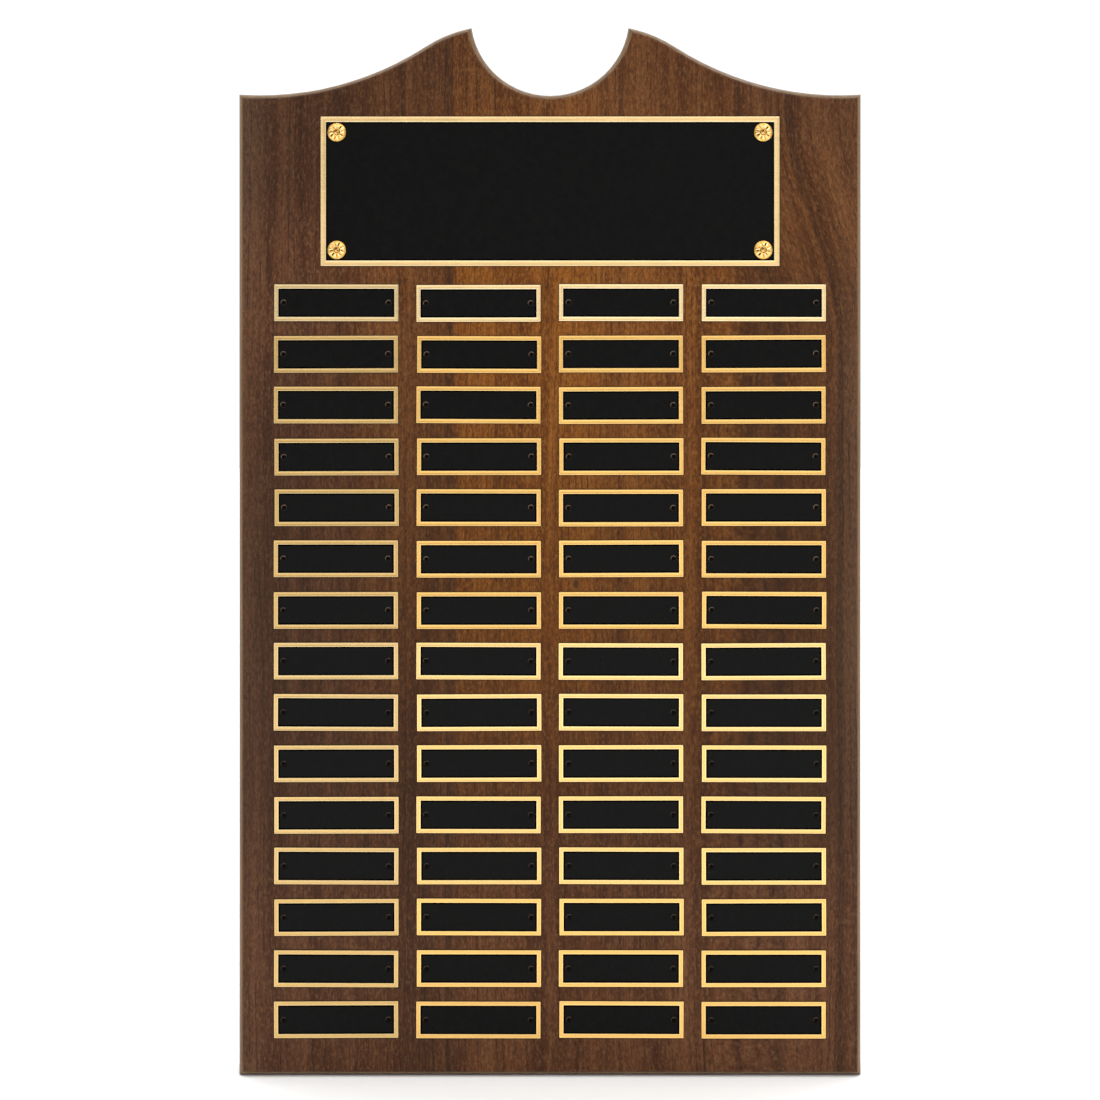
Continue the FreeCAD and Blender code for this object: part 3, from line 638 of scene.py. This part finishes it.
def cap_tarnish_and_shading(radius, angle, turn):
    """How dark the cap is at this radius in mm and angle, from -1, pale, to 1, dark brown: patina in some
    of the grooves and round the crease, painted shade high up in the dimple, and a painted pale
    highlight beside each groove."""
    step = 2 * math.pi / PETALS
    groove = PETAL_TARNISH[round(angle / step) % PETALS] * groove_depth(radius, angle)
    crease = 0.85 * math.exp(-(((radius - CREASE_RADIUS) / 0.21) ** 2))
    # Painted shade: the dimple is dark on its upper side, as if lit from above.
    upper = max(0.0, math.sin(angle + turn - 0.35)) ** 0.6
    dimple_shade = math.exp(-(((radius - 0.72) / 0.36) ** 2)) * upper
    # Painted highlight: a pale strip on one side of each groove.
    pale = groove_depth(radius, angle + 0.62 / max(radius, 1.0))
    return max(groove, crease, dimple_shade) - 0.8 * pale


def rosette(name, material):
    """A tack's cap: a raised ring with a dimple, nine pressed petals and a rolled rim."""
    node = f"rosette_cap_{name}"
    low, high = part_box(node)
    centre = (low + high) / 2
    rise = (high.y - low.y) / (max(height for _, height in CAP_PROFILE) * MM)
    around = PETALS * STEPS_PER_PETAL
    turn = math.radians(CAP_TURNS[name])
    mesh = bmesh.new()
    tarnish_and_shading = mesh.verts.layers.float.new("tarnish_and_shading")
    rings = []
    for radius, height in CAP_PROFILE[1:]:
        ring = []
        for i in range(around):
            angle = 2 * math.pi * i / around
            depth = groove_depth(radius, angle)
            crown = 0.0
            if CROWN_FROM < radius < CROWN_TO:
                crown = CROWN * (1.0 + math.cos(PETALS * angle))
            up = (height - GROOVE * depth - crown) * MM * rise
            x = centre.x + radius * MM * math.cos(angle + turn)
            z = centre.z + radius * MM * math.sin(angle + turn)
            vertex = mesh.verts.new((x, high.y - up, z))
            vertex[tarnish_and_shading] = cap_tarnish_and_shading(radius, angle, turn)
            ring.append(vertex)
        rings.append(ring)
    middle = mesh.verts.new((centre.x, high.y - CAP_PROFILE[0][1] * MM * rise, centre.z))
    for i in range(around):
        j = (i + 1) % around
        mesh.faces.new((middle, rings[0][i], rings[0][j]))
        for inner, outer in zip(rings, rings[1:]):
            mesh.faces.new((inner[i], outer[i], outer[j], inner[j]))
    mesh.faces.new(rings[-1])
    bmesh.ops.recalc_face_normals(mesh, faces=mesh.faces)
    for face in mesh.faces:
        face.smooth = len(face.verts) < 5
    piece = meshed(f"rosette_{name}", mesh, [material])
    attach(piece, "root")
    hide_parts(node)


# ---------------------------------------------------------------- dressing the object
def dress():
    left = walnut("walnut_left", (3.1, 0.0, 1.7), LEFT_LINES, warmth=0.55)
    right = walnut("walnut_right", (0.0, 0.0, 0.0), RIGHT_LINES, splice=SPLICE, bend=0.026)
    backing = walnut(
        "walnut_backing", (7.3, 0.0, 4.1), BACK_LINES, warmth=0.0, sheen=0.08, contrast=0.6
    )
    paint("face_veneer_left", left)
    paint("face_veneer_right", right)
    paint("back_veneer", backing)
    paint("core_panel", edge_lacquer())

    pins = pin_black()
    for row in range(1, ROWS + 1):
        paint(f"nameplate_pins_row_{row:02d}", pins)
    paint("rosette_nails", zinc("nail_steel", (0.55, 0.53, 0.50), 0.30))
    hanger = zinc("hanger_zinc", (0.46, 0.39, 0.26), 0.32)
    screw = zinc("screw_zinc", (0.54, 0.45, 0.29), 0.26)
    for side in ("left", "right"):
        paint(f"keyhole_hanger_{side}", hanger)
        paint(f"hanger_screws_{side}", screw)

    # The bright lines are polished, and their paler, brighter base colour is a painted highlight.
    line = brass("brass_line", (1.0, 0.80, 0.46), 0.20, LINE_BRUSH)
    band = brass("brass_band", (0.92, 0.64, 0.29), 0.30, BAND_BRUSH)
    # Painted shadow: the plate's sides and outer rim are dark brown, a contact shadow round each plate.
    shadow_rim = brass("brass_shadow_rim", (0.085, 0.045, 0.018), 0.38, BAND_BRUSH)
    margin, field = enamel("enamel_margin", 0.1, 0.0), enamel("enamel_field", 1.0)
    looks = (shadow_rim, line, band, margin, field)
    groups = [vertices("header_plate")]
    header = plates(
        "header_plate_dressed", "header_plate", groups, HEADER_BORDER, [PLAIN_TINT], looks
    )
    hand = random.Random(TINT_SEED)
    for row in range(ROWS):
        node = f"nameplate_row_{row + 1:02d}"
        tints = [plate_reflection_tint(row, column, hand) for column in range(COLUMNS)]
        groups = columns(vertices(node))
        name = f"nameplates_{row + 1:02d}"
        piece = plates(name, node, groups, NAMEPLATE_BORDER, tints, looks)

    gold = gold_cap()
    for name in CAP_TURNS:
        rosette(name, gold)


# ---------------------------------------------------------------- floor, light, camera
# The studio's brightness: in front on each side, behind, and what is added overhead.
FRONT_LEFT, FRONT_RIGHT = 0.46, 0.84
BEHIND = 1.12
OVERHEAD = 1.10
FLOOR_RADIUS = 9.0
FLOOR_GAP = 0.0002


def floor():
    """A plain pale floor under the plaque, which stands on its lower edge."""
    g = Graph("floor_pale")
    mottle = g.span(g.noise(g.place, (3.0, 3.0, 3.0), 2.0), 0.3, 0.7)
    colour = g.mix(mottle, (0.95, 0.95, 0.95, 1.0), (0.97, 0.97, 0.97, 1.0))
    material = g.finish(Base_Color=colour, Roughness=0.9, Specular_IOR_Level=0.1)
    mesh = bmesh.new()
    bmesh.ops.create_circle(mesh, cap_ends=True, segments=96, radius=FLOOR_RADIUS)
    piece = meshed("floor", mesh, [material])
    piece.location.z = CAD_BOX[0].z - FLOOR_GAP


def world():
    """White behind the plaque and overhead, and a softer grey studio in front, brighter to the
    right."""
    made = bpy.data.worlds.new("studio")
    bpy.context.scene.world = made
    made.use_nodes = True
    g = Tree(made.node_tree)
    way = g.add("TexCoord").outputs["Generated"]
    x, y, z = g.add("SeparateXYZ", {0: way}).outputs
    side = g.span(x, -0.30, 0.22, FRONT_LEFT, FRONT_RIGHT)
    above = g.span(z, 0.35, 0.75, 0.0, OVERHEAD)
    behind = g.span(y, -0.30, 0.25)
    lift = g.times(g.maths("SUBTRACT", BEHIND, side), behind)
    back = g.tree.nodes["Background"]
    back.inputs["Color"].default_value = (1.0, 1.0, 1.0, 1.0)
    g.put(back.inputs["Strength"], g.total(side, lift, above))


def softbox(name, place, target, width, height, radiance, colour):
    """A rectangular area light. radiance is its brightness as seen from in front of it."""
    data = bpy.data.lights.new(name, "AREA")
    data.shape = "RECTANGLE"
    data.size, data.size_y = width, height
    data.energy = radiance * math.pi * width * height
    data.color = colour
    light = placed(name, data)
    light.location = place
    light.rotation_euler = (Vector(target) - Vector(place)).to_track_quat("-Z", "Y").to_euler()


def lights():
    """One large soft key light, in front, above and to the right."""
    place, target = (0.9, -1.5, 1.5), (0.0, 0.0, 0.05)
    softbox("key", place, target, 0.9, 0.9, 2.6, (1.0, 0.98, 0.95))


CAMERA_BACK = 0.919
CAMERA_HEIGHT = 0.074
CAMERA_SHIFT = -0.131
LENS = 57.98
SENSOR_WIDTH = 36.0


def camera():
    """Level with the upper nameplates and straight in front, with the view shifted down to take in the
    board."""
    data = bpy.data.cameras.new("camera")
    data.sensor_width = SENSOR_WIDTH
    data.lens = LENS
    data.shift_y = CAMERA_SHIFT
    data.clip_start, data.clip_end = 0.05, 40.0
    made = placed("camera", data)
    made.location = (0.0, -CAMERA_BACK, CAMERA_HEIGHT)
    made.rotation_euler = (math.pi / 2, 0.0, 0.0)
    bpy.context.scene.camera = made


dress()
floor()
world()
lights()
camera()
bpy.context.scene.view_settings.view_transform = "Standard"
